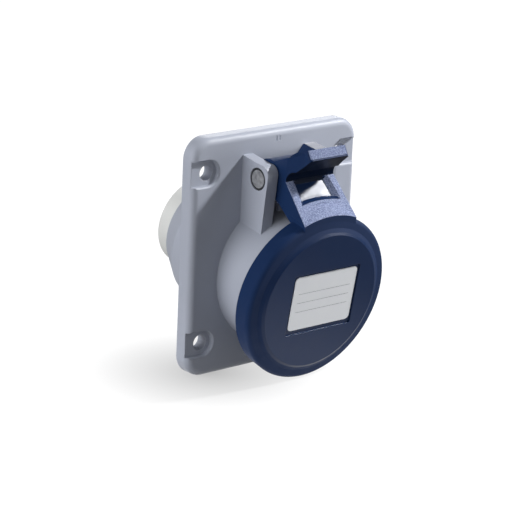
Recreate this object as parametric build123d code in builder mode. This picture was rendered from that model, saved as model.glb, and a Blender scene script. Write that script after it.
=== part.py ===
from build123d import *

import os
from math import cos, radians, sin, tan

os.makedirs("parts", exist_ok=True)

# Inclined panel socket: a flange carries a tilted collar that holds three pin contacts, and
# a sprung lid on a cross pin shuts the collar's mouth.
# The origin is the centre of the flange's rear face, which is also the centre of its four
# screw holes. +X is to the right for someone who faces the socket, the front faces -Y and
# +Z is up. All sizes are in millimetres.

# Flange, with its four open pockets for the fixing screws
FLANGE_W = 73.0
FLANGE_H = 84.0
FLANGE_T = 6.0
FLANGE_CORNER_R = 7.5
FLANGE_EDGE_R = 2.4
SCREW_SPACING_X = 60.0
SCREW_SPACING_Z = 60.0
SCREW_HOLE_R = 2.75
POCKET_R = 4.4
POCKET_DEPTH = 1.6
POCKET_LIP = 0.5
POCKET_OVERRUN = 3.0
RELIEF_DEPTH = 3.0
RELIEF_WALL = 2.6
RELIEF_SCREW_WALL = 8.0
RELIEF_RIB = 2.4
RELIEF_CORNER_R = 2.0
CENTRE_MARK_W = 0.5
CENTRE_MARK_H = 1.8
CENTRE_MARK_GAP = 1.4
CENTRE_MARK_DEPTH = 0.3

# Flat seal in a round recess behind the flange
GASKET_INNER_GAP = 1.0
GASKET_W = 6.4
GASKET_T = 1.8
GASKET_CLEAR = 0.2

# The tilted axis of the socket. Stations along it count from the flange's front face,
# positive towards the mouth.
TILT_DEG = 10.0
AXIS_DROP = 8.3

# Collar in front of the flange and cup behind it
COLLAR_BORE_R = 22.5
COLLAR_WALL = 2.3
MOUTH_S = 20.5
MOUTH_BEAD_STEP = 1.2
MOUTH_BEAD_SLOPE = 0.6
MOUTH_BEAD_SETBACK = 2.1
MOUTH_BEAD_L = 3.6
CUP_STEP = 0.8
CUP_FROM_S = -5.6
LEDGE_S = -24.0
LEDGE_W = 5.5
CUP_STRAIGHT_END_S = -26.4
CUP_END_S = -36.5
CUP_END_WALL = 1.5
INSERT_CLEAR = 0.2

# Keyway on the underside, with the rib that makes room for it
KEYWAY_W = 6.0
KEYWAY_DEPTH = 1.8
KEYWAY_WALL = 1.7
KEYWAY_END_S = 1.0

# Hinge ears and the pin that crosses them. Pairs of sizes from here on are (y, z) steps from
# the pin's axis unless they say otherwise.
HINGE_REACH = 8.2
HINGE_RISE = 11.6
EAR_OUTER_X = 15.5
EAR_T = 4.5
EAR_TOP_ROOT_RISE = 6.6
EAR_TOP_FRONT = (-1.4, 5.1)
EAR_NOSE = (-5.2, 1.5)
EAR_FOOT = (-2.8, -20.1)
PIN_R = 2.0
PIN_HEAD_R = 3.65
PIN_HEAD_T = 2.3
PIN_HEAD_GAP = 0.25
PIN_HEAD_INSET = 0.1
PIN_SEAT_CLEAR = 0.02
PIN_RUN_CLEAR = 0.06
PIN_END_CHAMFER = 0.5

# Lid: a round cap with a neck, a barrel and a thumb bar
LID_OVERLAP = 3.0
LID_GAP = 2.0
LID_SKIRT_WALL = 2.0
LID_DRAFT = 0.2
LID_FACE_WALL = 2.4
LID_INNER_GAP = 1.1
LID_WALL_END = 3.4
LID_SHOULDER_INSET = 1.1
LID_SHOULDER_DROP = 1.6
LID_BEVEL_INSET = 3.4
LID_BEVEL_DROP = 1.2
LID_FACE_INSET = 5.6
SEAL_RIB_L = 0.6
BARREL_R = 6.4
BARREL_SIDE_CLEAR = 0.35
NECK_SIDE_CLEAR = 0.4
NECK_SPREAD = 0.9
NECK_TOP_STEP = (-8.9, 0.5)
NECK_FOOT_SINK = 0.2
NECK_ARCH_R_STEP = 0.8
NECK_ARCH_RUN = 2.4
NECK_ARCH_FALL = 5.9
NECK_ARCH_DEG = 50.0
NECK_INSIDE = 4.0
NECK_UNDER_RISE = 1.0
NECK_UNDER = ((-5.8, -7.7), (-2.2, -6.0))
WING_TOP_BACK = (-2.0, 5.9)
WING_TOP_FRONT = (-15.6, 11.2)
BAR_TOP_BACK = (-15.4, 11.9)
BAR_TOP = (-16.7, 12.6)
BAR_BOTTOM = (-18.6, 9.2)
BAR_HALF_W = 8.7
BAR_CORNER_R = 1.2
HOLLOW_FRONT = (-12.4, 4.2)
HOLLOW_BULGE = (-9.6, 2.9)
RIB_W = 4.8
RIB_CORNER_R = 1.2
RIB_BACK = ((-0.4, 4.9), (-1.2, 6.4), (-2.4, 7.3), (-5.0, 8.8))
RIB_TOP = (-7.4, 12.5)
RIB_TOP_FRONT = (-15.6, 11.3)
RIB_FOOT_FRONT = (-15.6, 7.9)
THUMB_POCKET_DEPTH = 1.5
THUMB_POCKET_TAPER = 52.0
THUMB_POCKET_TOP_HALF_W = 7.9
THUMB_POCKET_FOOT_HALF_W = 8.9
THUMB_POCKET_RUN = 9.8
THUMB_POCKET_RISE = 1.0
THUMB_POCKET_OPEN = 1.0

# Label and the shallow recess that it is stuck in
LABEL_W = 27.8
LABEL_H = 20.1
LABEL_T = 0.25
LABEL_CORNER_R = 1.6
LABEL_SHIFT_X = 1.1
LABEL_SHIFT_U = 0.6
RECESS_W = 29.5
RECESS_H = 22.6
RECESS_DEPTH = 0.5
RECESS_CORNER_R = 0.8
RECESS_SHIFT_X = 1.05
RECESS_SHIFT_U = 0.2

# Ring seal inside the lid
SEAL_T = 1.9
SEAL_INNER_LAP = 0.3
SEAL_OUTER_LAP = 1.2
SEAL_LIP = 0.8
SEAL_GAP = 0.2
SEAL_SIDE_CLEAR = 0.1

# Torsion spring round the pin, in a slot at the back of the barrel
SPRING_WIRE_R = 0.45
SPRING_COIL_R = 3.1
SPRING_WHOLE_TURNS = 4
SPRING_END_DEG = 210.0
SPRING_PITCH = 1.15
SPRING_SLOT_R = 4.6
SPRING_SLOT_HALF_W = 4.4
SPRING_SLOT_FROM_DEG = -118.0
SPRING_SLOT_CORNER_DEG = -60.0
SPRING_SLOT_TO_DEG = 10.0
SPRING_SLOT_REACH = 10.2
SPRING_SLOT_CORNER_REACH = 14.5
SPRING_LID_LEG = 6.6
SPRING_HOUSING_LEG = 11.6
SPRING_CLEAR = 0.1
SPRING_STOP_FRONT_STEP = 0.2
SPRING_STOP_TOP_DROP = 10.5
SPRING_STOP_FOOT_DROP = 12.8
SPRING_STOP_T = 1.6
SPRING_STOP_HALF_W = 5.0

# Insert that holds the contacts, and the terminal carrier screwed to its back
INSERT_FACE_S = 14.5
INSERT_SPLIT_S = -30.0
INSERT_EDGE_R = 0.8
INSERT_SHOULDER_CLEAR = 0.3
INSERT_SHOULDER_T = 2.6
ENTRY_WALL = 2.2
ENTRY_CLEAR = 0.35
ENTRY_CHAMFER = 0.6
CARRIER_INSET = 0.1
CARRIER_END_S = -44.3
CARRIER_EDGE_R = 0.8
CARRIER_END_WALL = 2.2

# Contacts on a common circle, at angles counted from +X towards the top
CONTACT_CIRCLE_R = 8.75
CONTACT_ANGLE = {"phase": 150.0, "neutral": 30.0, "earth": -90.0}
CONTACT_BORE_R = {"phase": 2.52, "neutral": 2.52, "earth": 3.02}
CONTACT_WALL = 1.2
CONTACT_FRONT_GAP = 0.2
CONTACT_BORE_END_S = -24.0
CONTACT_SLIT_W = 0.8
CONTACT_SLIT_L = 20.0
CONTACT_CAVITY_CLEAR = 0.9
CONTACT_FLANGE_STEP = 1.7
CONTACT_FLANGE_T = 2.4
CONTACT_SEAT_CLEAR = 0.1
CLIP_T = 0.6
CLIP_L = 5.0
CLIP_GROOVE = 0.3
CLIP_FROM_FRONT = 3.0
CLIP_OPENING_DEG = 40.0
CLIP_CLEAR = 0.02
PILLAR_R = 4.0
PILLAR_END_S = -41.8
WIRE_BORE_R = 2.1
WIRE_BORE_L = 10.0
WIRE_ENTRY_R = 2.6
WIRE_ENTRY_CHAMFER = 0.8

# Screws: one in each terminal, one that holds the carrier, two that hold the insert
TERMINAL_SCREW_S = -39.4
TERMINAL_SCREW_R = 1.6
TERMINAL_SCREW_HEAD_R = 2.15
TERMINAL_SCREW_HEAD_T = 2.0
TERMINAL_SCREW_L = 5.2
TERMINAL_SCREW_TIP_GAP = 0.1
TERMINAL_ACCESS_R = 2.4
CARRIER_SCREW_R = 1.5
CARRIER_SCREW_L = 22.0
CARRIER_SCREW_HEAD_R = 2.9
CARRIER_SCREW_HEAD_T = 2.0
INSERT_SCREW_R = 1.25
INSERT_SCREW_L = 8.0
INSERT_SCREW_HEAD_R = 2.3
INSERT_SCREW_HEAD_T = 1.5
SCREW_CLEAR = 0.02
SCREW_PASS_CLEAR = 0.15
SCREW_END_GAP = 0.4
HEAD_CLEAR = 0.2
DRIVER_SLOT_W = 0.7
DRIVER_SLOT_DEPTH = 0.7

# Directions of the tilted axis: N points out of the mouth, U points up across it
TILT = radians(TILT_DEG)
N = Vector(0, -cos(TILT), -sin(TILT))
U = Vector(0, -sin(TILT), cos(TILT))
AXIS_POINT = Vector(0, -FLANGE_T, -AXIS_DROP)
SOCKET_AXIS = Axis(AXIS_POINT, N)
FLANGE_FRONT = Plane.XZ.offset(FLANGE_T)
PROFILE = Plane(origin=AXIS_POINT, x_dir=(1, 0, 0), z_dir=U * -1)

# Sizes that follow from the ones above
COLLAR_R = COLLAR_BORE_R + COLLAR_WALL
MOUTH_BEAD_R = COLLAR_R + MOUTH_BEAD_STEP
MOUTH_BEAD_TO_S = MOUTH_S - MOUTH_BEAD_SETBACK
MOUTH_BEAD_FROM_S = MOUTH_BEAD_TO_S - MOUTH_BEAD_L
CUP_R = COLLAR_R - CUP_STEP
INSERT_R = COLLAR_BORE_R - LEDGE_W
CARRIER_R = INSERT_R - CARRIER_INSET
CUP_END_R = INSERT_R + INSERT_CLEAR + CUP_END_WALL
KEYWAY_FLOOR_R = COLLAR_BORE_R + KEYWAY_DEPTH
KEYWAY_RIB_R = KEYWAY_FLOOR_R + KEYWAY_WALL
KEYWAY_RIB_W = KEYWAY_W + 2 * KEYWAY_WALL
SEAT_CENTRE_Z = -AXIS_DROP + FLANGE_T * tan(TILT)
GASKET_R_IN = COLLAR_R + GASKET_INNER_GAP
GASKET_R_OUT = GASKET_R_IN + GASKET_W
HINGE_Y = -FLANGE_T - HINGE_REACH
HINGE_Z = -AXIS_DROP + COLLAR_R + HINGE_RISE
EAR_INNER_X = EAR_OUTER_X - EAR_T
EAR_MID_X = (EAR_OUTER_X + EAR_INNER_X) / 2
SEAL_SEAT_S = MOUTH_S + SEAL_GAP + SEAL_T
SEAL_R_IN = COLLAR_BORE_R - SEAL_INNER_LAP
SEAL_R_OUT = MOUTH_BEAD_R + SEAL_OUTER_LAP
LID_REAR_S = MOUTH_S - LID_OVERLAP
LID_INNER_S = SEAL_SEAT_S + LID_INNER_GAP
LID_FACE_S = LID_INNER_S + LID_FACE_WALL
LID_WALL_END_S = LID_FACE_S - LID_WALL_END
LID_SHOULDER_S = LID_FACE_S - LID_SHOULDER_DROP
LID_BEVEL_S = LID_FACE_S - LID_BEVEL_DROP
LID_SKIRT_R_IN = MOUTH_BEAD_R + LID_GAP
LID_R = LID_SKIRT_R_IN + LID_SKIRT_WALL
LID_FRONT_R = LID_R + LID_DRAFT
LID_SHOULDER_R = LID_R - LID_SHOULDER_INSET
LID_BEVEL_R = LID_R - LID_BEVEL_INSET
LID_FACE_R = LID_R - LID_FACE_INSET
NECK_TOP_HALF_W = EAR_INNER_X - NECK_SIDE_CLEAR
NECK_FOOT_HALF_W = NECK_TOP_HALF_W + NECK_SPREAD
INSERT_SHOULDER_R = COLLAR_BORE_R - INSERT_SHOULDER_CLEAR
INSERT_SCREW_CIRCLE_R = INSERT_R + LEDGE_W / 2
SHOULDER_FRONT_S = LEDGE_S + INSERT_SHOULDER_T
INSERT_SCREW_END_S = SHOULDER_FRONT_S - INSERT_SCREW_L
INSERT_SCREW_PLACES = ((-INSERT_SCREW_CIRCLE_R, 0), (INSERT_SCREW_CIRCLE_R, 0))
CONTACT_FRONT_S = INSERT_FACE_S - ENTRY_WALL - CONTACT_FRONT_GAP
CARRIER_FLOOR_S = CARRIER_END_S + CARRIER_END_WALL
CARRIER_HEAD_SEAT_S = CARRIER_END_S + CARRIER_SCREW_HEAD_T + HEAD_CLEAR
SPRING_TURNS = SPRING_WHOLE_TURNS + (SPRING_END_DEG + 90) / 360
SPRING_L = SPRING_TURNS * SPRING_PITCH


def across(station):
    """The plane square to the tilted axis at a station, with +X right and its Y upwards."""
    return Plane(origin=AXIS_POINT + N * station, x_dir=(1, 0, 0), z_dir=N)


def contact_place(name):
    """Where a contact's axis crosses a plane made by across()."""
    angle = radians(CONTACT_ANGLE[name])
    return (CONTACT_CIRCLE_R * cos(angle), CONTACT_CIRCLE_R * sin(angle))


def sleeve_r(name):
    """Outer radius of a contact's sleeve."""
    return CONTACT_BORE_R[name] + CONTACT_WALL


def turned(*points):
    """A closed outline of (radius, station) corners, ready to be turned about the axis."""
    with BuildSketch(PROFILE) as outline:
        with BuildLine():
            Polyline(*points, close=True)
        make_face()
    return outline.sketch


def disc(radius, station, place=(0, 0)):
    """A round outline on the plane square to the tilted axis at a station."""
    with BuildSketch(across(station)) as outline:
        with Locations(place):
            Circle(radius)
    return outline.sketch


def hinge_point(step):
    """The (y, z) place of a (y, z) step from the pin's axis."""
    return (HINGE_Y + step[0], HINGE_Z + step[1])


def hinge_turn(reach, degrees):
    """The (y, z) place at a reach and an angle round the pin's axis."""
    return hinge_point((reach * cos(radians(degrees)), reach * sin(radians(degrees))))


def top_point(radius, station):
    """The (y, z) place above the tilted axis at a radius and a station."""
    point = AXIS_POINT + N * station + U * radius
    return (point.Y, point.Z)


def side_view(points, x=0.0):
    """A closed outline of (y, z) corners on the upright plane at x."""
    with BuildSketch(Plane.YZ.offset(x)) as outline:
        with BuildLine():
            Polyline(*points, close=True)
        make_face()
    return outline.sketch


def side_disc(radius, x=0.0):
    """A round outline about the hinge, on the upright plane at x."""
    with BuildSketch(Plane.YZ.offset(x)) as outline:
        with Locations((HINGE_Y, HINGE_Z)):
            Circle(radius)
    return outline.sketch


# Housing: flange, collar, cup and ears are one moulding
with BuildPart() as housing:
    with BuildSketch(Plane.XZ):
        RectangleRounded(FLANGE_W, FLANGE_H, FLANGE_CORNER_R)
    extrude(amount=FLANGE_T)
    fillet(housing.faces().sort_by(Axis.Y)[0].edges(), FLANGE_EDGE_R)

    # Screw pockets, rounded towards the middle and open at the flange's side
    for side in (-1, 1):
        for level in (-1, 1):
            hole_x = side * SCREW_SPACING_X / 2
            hole_z = level * SCREW_SPACING_Z / 2
            run = (FLANGE_W - SCREW_SPACING_X) / 2 + POCKET_OVERRUN
            with BuildSketch(FLANGE_FRONT.offset(-POCKET_DEPTH)):
                with Locations((hole_x, hole_z)):
                    Circle(POCKET_R)
                with Locations((hole_x + side * run / 2, hole_z)):
                    Rectangle(run, 2 * POCKET_R)
            extrude(amount=POCKET_DEPTH, mode=Mode.SUBTRACT)
            with BuildSketch(FLANGE_FRONT.offset(-POCKET_LIP)):
                with Locations((hole_x, hole_z)):
                    Circle(POCKET_R)
                with Locations((hole_x + side * run / 2, hole_z)):
                    Rectangle(run, 2 * POCKET_R)
            extrude(amount=POCKET_LIP, taper=-45, mode=Mode.SUBTRACT)

    # Two short centre marks at the top edge
    with BuildSketch(FLANGE_FRONT):
        with Locations((0, FLANGE_H / 2 - FLANGE_EDGE_R - CENTRE_MARK_H / 2)):
            with GridLocations(CENTRE_MARK_GAP, 0, 2, 1):
                Rectangle(CENTRE_MARK_W, CENTRE_MARK_H)
    extrude(amount=-CENTRE_MARK_DEPTH, mode=Mode.SUBTRACT)

    # Relief pockets behind the flange, one each side of a rib
    relief_top = FLANGE_H / 2 - RELIEF_WALL
    relief_foot = SEAT_CENTRE_Z + GASKET_R_OUT + RELIEF_WALL
    relief_w = SCREW_SPACING_X / 2 - RELIEF_SCREW_WALL - RELIEF_RIB / 2
    with BuildSketch(Plane.XZ):
        with Locations((0, (relief_top + relief_foot) / 2)):
            with GridLocations(relief_w + RELIEF_RIB, 0, 2, 1):
                RectangleRounded(relief_w, relief_top - relief_foot, RELIEF_CORNER_R)
    extrude(amount=RELIEF_DEPTH, mode=Mode.SUBTRACT)

    # Recess for the flat seal
    with BuildSketch(Plane.XZ):
        with Locations((0, SEAT_CENTRE_Z)):
            Circle(GASKET_R_OUT + GASKET_CLEAR)
    extrude(amount=GASKET_T, mode=Mode.SUBTRACT)

    # Ears, drawn in side view
    for side in (-1, 1):
        with BuildSketch(Plane.YZ.offset(side * EAR_MID_X)):
            with BuildLine():
                ear_top_z = HINGE_Z + EAR_TOP_ROOT_RISE
                ear_foot_z = hinge_point(EAR_FOOT)[1]
                Polyline(
                    (-FLANGE_T / 2, ear_foot_z),
                    (-FLANGE_T / 2, ear_top_z),
                    (-FLANGE_T, ear_top_z),
                    hinge_point(EAR_TOP_FRONT),
                )
                ear_nose = Line(hinge_point(EAR_NOSE), hinge_point(EAR_FOOT))
                TangentArc(ear_nose @ 0, hinge_point(EAR_TOP_FRONT), tangent=(ear_nose % 0) * -1)
                Line(ear_nose @ 1, (-FLANGE_T / 2, ear_foot_z))
            make_face()
        extrude(amount=EAR_T / 2, both=True)

    # Stop on top of the collar for the spring's lower leg
    stop_y = HINGE_Y + SPRING_STOP_FRONT_STEP
    stop_top_z = HINGE_Z - SPRING_STOP_TOP_DROP
    stop_foot_z = HINGE_Z - SPRING_STOP_FOOT_DROP
    spring_stop = (
        (stop_y, stop_foot_z),
        (stop_y, stop_top_z),
        (stop_y + SPRING_STOP_T, stop_top_z),
        (stop_y + SPRING_STOP_T, stop_foot_z),
    )
    extrude(side_view(spring_stop), amount=SPRING_STOP_HALF_W, both=True)

    # Collar and cup, solid at first
    collar_outline = turned(
        (0, MOUTH_S),
        (COLLAR_R, MOUTH_S),
        (COLLAR_R, MOUTH_BEAD_TO_S + MOUTH_BEAD_SLOPE),
        (MOUTH_BEAD_R, MOUTH_BEAD_TO_S),
        (MOUTH_BEAD_R, MOUTH_BEAD_FROM_S),
        (COLLAR_R, MOUTH_BEAD_FROM_S - MOUTH_BEAD_SLOPE),
        (COLLAR_R, CUP_FROM_S),
        (CUP_R, CUP_FROM_S + CUP_R - COLLAR_R),
        (CUP_R, CUP_STRAIGHT_END_S),
        (CUP_END_R, CUP_END_S),
        (0, CUP_END_S),
    )
    revolve(collar_outline, axis=SOCKET_AXIS)

    # Rib on the underside that covers the keyway
    with BuildSketch(across(MOUTH_BEAD_FROM_S)):
        with Locations((0, -KEYWAY_RIB_R / 2)):
            Rectangle(KEYWAY_RIB_W, KEYWAY_RIB_R)
        Circle(KEYWAY_RIB_R, mode=Mode.INTERSECT)
    extrude(amount=KEYWAY_END_S - MOUTH_BEAD_FROM_S)

    # The bore, the narrower hole behind the ledge and the keyway
    extrude(disc(COLLAR_BORE_R, MOUTH_S), amount=LEDGE_S - MOUTH_S, mode=Mode.SUBTRACT)
    extrude(disc(INSERT_R + INSERT_CLEAR, LEDGE_S), amount=CUP_END_S - LEDGE_S, mode=Mode.SUBTRACT)
    with BuildSketch(across(MOUTH_S)):
        with Locations((0, -KEYWAY_FLOOR_R / 2)):
            Rectangle(KEYWAY_W, KEYWAY_FLOOR_R)
    extrude(amount=KEYWAY_END_S - MOUTH_S, mode=Mode.SUBTRACT)

    # Pilot holes for the two screws that hold the insert
    for place in INSERT_SCREW_PLACES:
        pilot = disc(INSERT_SCREW_R + SCREW_CLEAR, LEDGE_S, place)
        extrude(pilot, amount=INSERT_SCREW_END_S - SCREW_END_GAP - LEDGE_S, mode=Mode.SUBTRACT)

    # Screw holes and pin holes
    with BuildSketch(Plane.XZ):
        with GridLocations(SCREW_SPACING_X, SCREW_SPACING_Z, 2, 2):
            Circle(SCREW_HOLE_R)
    extrude(amount=FLANGE_T, mode=Mode.SUBTRACT)
    extrude(side_disc(PIN_R + PIN_SEAT_CLEAR), amount=EAR_OUTER_X, both=True, mode=Mode.SUBTRACT)
    head_seat = side_disc(PIN_HEAD_R + PIN_HEAD_GAP, -EAR_OUTER_X)
    extrude(head_seat, amount=PIN_HEAD_T + PIN_HEAD_INSET, mode=Mode.SUBTRACT)
housing.part.label = "housing"
export_step(housing.part, "parts/housing.step")

# Flat seal behind the flange
with BuildPart() as flange_gasket:
    with BuildSketch(Plane.XZ):
        with Locations((0, SEAT_CENTRE_Z)):
            Circle(GASKET_R_OUT)
            Circle(GASKET_R_IN, mode=Mode.SUBTRACT)
    extrude(amount=GASKET_T)
flange_gasket.part.label = "flange_gasket"
export_step(flange_gasket.part, "parts/flange_gasket.step")

# Lid: the neck is the common volume of its front outline and its side outline. Its face is a
# plane, which swells at the foot into an arch round the cap's rim.
neck_top = hinge_point(NECK_TOP_STEP)
neck_foot = top_point(LID_SHOULDER_R, LID_SHOULDER_S - NECK_FOOT_SINK)
neck_run = Vector(0, neck_foot[0] - neck_top[0], neck_foot[1] - neck_top[1])
NECK_FACE = Plane(
    origin=(0, neck_top[0], neck_top[1]),
    x_dir=(1, 0, 0),
    z_dir=(0, neck_run.Z, -neck_run.Y),
)
neck_front = NECK_FACE * make_face(
    Polyline(
        (-NECK_TOP_HALF_W, BARREL_R),
        (-NECK_TOP_HALF_W, 0),
        (-NECK_FOOT_HALF_W, -neck_run.length),
        (-NECK_FOOT_HALF_W, -neck_run.length - BARREL_R),
        (NECK_FOOT_HALF_W, -neck_run.length - BARREL_R),
        (NECK_FOOT_HALF_W, -neck_run.length),
        (NECK_TOP_HALF_W, 0),
        (NECK_TOP_HALF_W, BARREL_R),
        close=True,
    )
)
neck_side = side_view(
    (
        neck_top,
        neck_foot,
        top_point(LID_SHOULDER_R - NECK_INSIDE, LID_SHOULDER_S),
        top_point(LID_SKIRT_R_IN - LID_SKIRT_WALL, LID_REAR_S + NECK_UNDER_RISE),
        *(hinge_point(step) for step in NECK_UNDER),
        (HINGE_Y, HINGE_Z),
        hinge_point(WING_TOP_BACK),
    )
)
neck_arch_r = LID_FRONT_R + NECK_ARCH_R_STEP
neck_arch_outline = turned(
    (LID_FACE_R, LID_REAR_S),
    (neck_arch_r + NECK_ARCH_RUN, LID_REAR_S),
    (neck_arch_r + NECK_ARCH_RUN, LID_SHOULDER_S - NECK_ARCH_FALL),
    (neck_arch_r, LID_SHOULDER_S - NECK_FOOT_SINK),
    (LID_SHOULDER_R, LID_SHOULDER_S),
    (LID_FACE_R, LID_SHOULDER_S),
)
neck_arch = revolve(
    neck_arch_outline.rotate(SOCKET_AXIS, 90 - NECK_ARCH_DEG / 2),
    axis=SOCKET_AXIS,
    revolution_arc=NECK_ARCH_DEG,
)
neck_side_solid = extrude(neck_side, amount=NECK_FOOT_HALF_W, both=True)
neck_block = extrude(neck_front, amount=LID_R, both=True) & (neck_side_solid + neck_arch)

# The wing and its thumb bar are the common volume of a side outline and a tapering plan
with BuildSketch(Plane.YZ) as wing_outline:
    with BuildLine():
        wing_back = Polyline(
            (HINGE_Y, HINGE_Z),
            hinge_point(WING_TOP_BACK),
            hinge_point(WING_TOP_FRONT),
            hinge_point(BAR_TOP_BACK),
            hinge_point(BAR_TOP),
            hinge_point(BAR_BOTTOM),
            hinge_point(HOLLOW_FRONT),
        )
        hollow_arc = ThreePointArc(wing_back @ 1, hinge_point(HOLLOW_BULGE), neck_top)
        Line(hollow_arc @ 1, wing_back @ 0)
    make_face()
wing_plan_front = HINGE_Y + 2 * BAR_BOTTOM[0]
wing_plan = Plane.XY.offset(HINGE_Z - BARREL_R) * make_face(
    Polyline(
        (-NECK_TOP_HALF_W, HINGE_Y),
        (-NECK_TOP_HALF_W, neck_top[0]),
        (-BAR_HALF_W, HINGE_Y + BAR_TOP_BACK[0]),
        (-BAR_HALF_W, wing_plan_front),
        (BAR_HALF_W, wing_plan_front),
        (BAR_HALF_W, HINGE_Y + BAR_TOP_BACK[0]),
        (NECK_TOP_HALF_W, neck_top[0]),
        (NECK_TOP_HALF_W, HINGE_Y),
        close=True,
    )
)
wing_solid = extrude(wing_outline.sketch, amount=NECK_TOP_HALF_W, both=True)
wing_body = wing_solid & extrude(wing_plan, amount=LID_R)
bar_front = (Vector(*hinge_point(BAR_TOP)) + Vector(*hinge_point(BAR_BOTTOM))) / 2
bar_corners = wing_body.edges().sort_by_distance((-BAR_HALF_W, bar_front.X, bar_front.Y))[:1]
bar_corners += wing_body.edges().sort_by_distance((BAR_HALF_W, bar_front.X, bar_front.Y))[:1]
wing_body = fillet(bar_corners, BAR_CORNER_R)

with BuildPart() as lid:
    # Cap, turned solid at first
    with BuildSketch(PROFILE):
        with BuildLine():
            rim = Line((LID_R, LID_REAR_S), (LID_FRONT_R, LID_WALL_END_S))
            shoulder = TangentArc(rim @ 1, (LID_SHOULDER_R, LID_SHOULDER_S), tangent=rim % 1)
            Polyline(
                shoulder @ 1,
                (LID_BEVEL_R, LID_BEVEL_S),
                (LID_FACE_R, LID_FACE_S),
                (0, LID_FACE_S),
                (0, LID_REAR_S),
                rim @ 0,
            )
        make_face()
    revolve(axis=SOCKET_AXIS)

    # Neck and barrel
    add(neck_block)
    extrude(side_disc(BARREL_R), amount=EAR_INNER_X - BARREL_SIDE_CLEAR, both=True)

    # Hollow for the collar, with the seat and the ribs that hold the seal
    seal_rib_s = SEAL_SEAT_S - SEAL_RIB_L
    seal_land_r = SEAL_R_IN - SEAL_SIDE_CLEAR
    hollow = turned(
        (0, LID_INNER_S),
        (seal_land_r - 2 * SEAL_RIB_L, LID_INNER_S),
        (seal_land_r - 2 * SEAL_RIB_L, seal_rib_s),
        (seal_land_r, seal_rib_s),
        (seal_land_r, SEAL_SEAT_S),
        (SEAL_R_OUT + SEAL_SIDE_CLEAR, SEAL_SEAT_S),
        (SEAL_R_OUT + SEAL_SIDE_CLEAR, seal_rib_s),
        (LID_SKIRT_R_IN, seal_rib_s),
        (LID_SKIRT_R_IN, -FLANGE_T),
        (0, -FLANGE_T),
    )
    revolve(hollow, axis=SOCKET_AXIS, mode=Mode.SUBTRACT)

    # Wing and thumb bar
    add(wing_body)

    # Rib behind the thumb bar
    with BuildSketch(Plane.YZ):
        with BuildLine():
            rib_steps = (*RIB_BACK, RIB_TOP, RIB_TOP_FRONT, RIB_FOOT_FRONT)
            Polyline(*(hinge_point(step) for step in rib_steps), close=True)
        make_face()
        rib_top = Vector(*hinge_point(RIB_TOP), 0)
        fillet(vertices().sort_by_distance(rib_top)[0], RIB_CORNER_R)
    extrude(amount=RIB_W / 2, both=True)

    # Thumb pocket in the neck's face, open to the hollow above it
    with BuildSketch(NECK_FACE):
        with BuildLine():
            pocket_side = Polyline(
                (-THUMB_POCKET_FOOT_HALF_W, -THUMB_POCKET_RUN),
                (-THUMB_POCKET_TOP_HALF_W, 0),
                (-THUMB_POCKET_TOP_HALF_W, THUMB_POCKET_OPEN),
                (THUMB_POCKET_TOP_HALF_W, THUMB_POCKET_OPEN),
                (THUMB_POCKET_TOP_HALF_W, 0),
                (THUMB_POCKET_FOOT_HALF_W, -THUMB_POCKET_RUN),
            )
            ThreePointArc(
                pocket_side @ 1, (0, THUMB_POCKET_RISE - THUMB_POCKET_RUN), pocket_side @ 0
            )
        make_face()
    extrude(amount=-THUMB_POCKET_DEPTH, taper=THUMB_POCKET_TAPER, mode=Mode.SUBTRACT)

    # Recess for the label
    with BuildSketch(across(LID_FACE_S)):
        with Locations((RECESS_SHIFT_X, RECESS_SHIFT_U)):
            RectangleRounded(RECESS_W, RECESS_H, RECESS_CORNER_R)
    extrude(amount=-RECESS_DEPTH, mode=Mode.SUBTRACT)

    # Pin hole, spring slot and the hole for the spring's upper leg
    extrude(side_disc(PIN_R + PIN_RUN_CLEAR), amount=EAR_INNER_X, both=True, mode=Mode.SUBTRACT)
    extrude(side_disc(SPRING_SLOT_R), amount=SPRING_SLOT_HALF_W, both=True, mode=Mode.SUBTRACT)
    slot = side_view(
        (
            (HINGE_Y, HINGE_Z),
            hinge_turn(SPRING_SLOT_REACH, SPRING_SLOT_FROM_DEG),
            hinge_turn(SPRING_SLOT_CORNER_REACH, SPRING_SLOT_CORNER_DEG),
            hinge_turn(SPRING_SLOT_REACH, SPRING_SLOT_TO_DEG),
        )
    )
    extrude(slot, amount=SPRING_SLOT_HALF_W, both=True, mode=Mode.SUBTRACT)
    with BuildSketch(Plane.XZ.offset(-HINGE_Y)):
        with Locations((-SPRING_L / 2, HINGE_Z - SPRING_COIL_R)):
            Circle(SPRING_WIRE_R + SPRING_CLEAR)
    extrude(amount=SPRING_LID_LEG + SPRING_CLEAR, mode=Mode.SUBTRACT)
lid.part.label = "lid"
export_step(lid.part, "parts/lid.step")

# Ring seal in the lid, just clear of the collar's mouth
with BuildPart() as lid_seal:
    seal_back_s = MOUTH_S + SEAL_GAP
    seal_outline = turned(
        (SEAL_R_IN, SEAL_SEAT_S),
        (SEAL_R_OUT, SEAL_SEAT_S),
        (SEAL_R_OUT, SEAL_SEAT_S - SEAL_RIB_L),
        (SEAL_R_OUT - SEAL_LIP, seal_back_s),
        (SEAL_R_IN, seal_back_s),
    )
    revolve(seal_outline, axis=SOCKET_AXIS)
lid_seal.part.label = "lid_seal"
export_step(lid_seal.part, "parts/lid_seal.step")

# Hinge pin with a flush head in the left ear
with BuildPart() as hinge_pin:
    extrude(side_disc(PIN_R, -EAR_OUTER_X + PIN_HEAD_INSET), amount=2 * EAR_OUTER_X - 2 * PIN_HEAD_INSET)
    chamfer(hinge_pin.faces().sort_by(Axis.X)[-1].edges(), PIN_END_CHAMFER)
    extrude(side_disc(PIN_HEAD_R, -EAR_OUTER_X + PIN_HEAD_INSET), amount=PIN_HEAD_T)
hinge_pin.part.label = "hinge_pin"
export_step(hinge_pin.part, "parts/hinge_pin.step")

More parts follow.
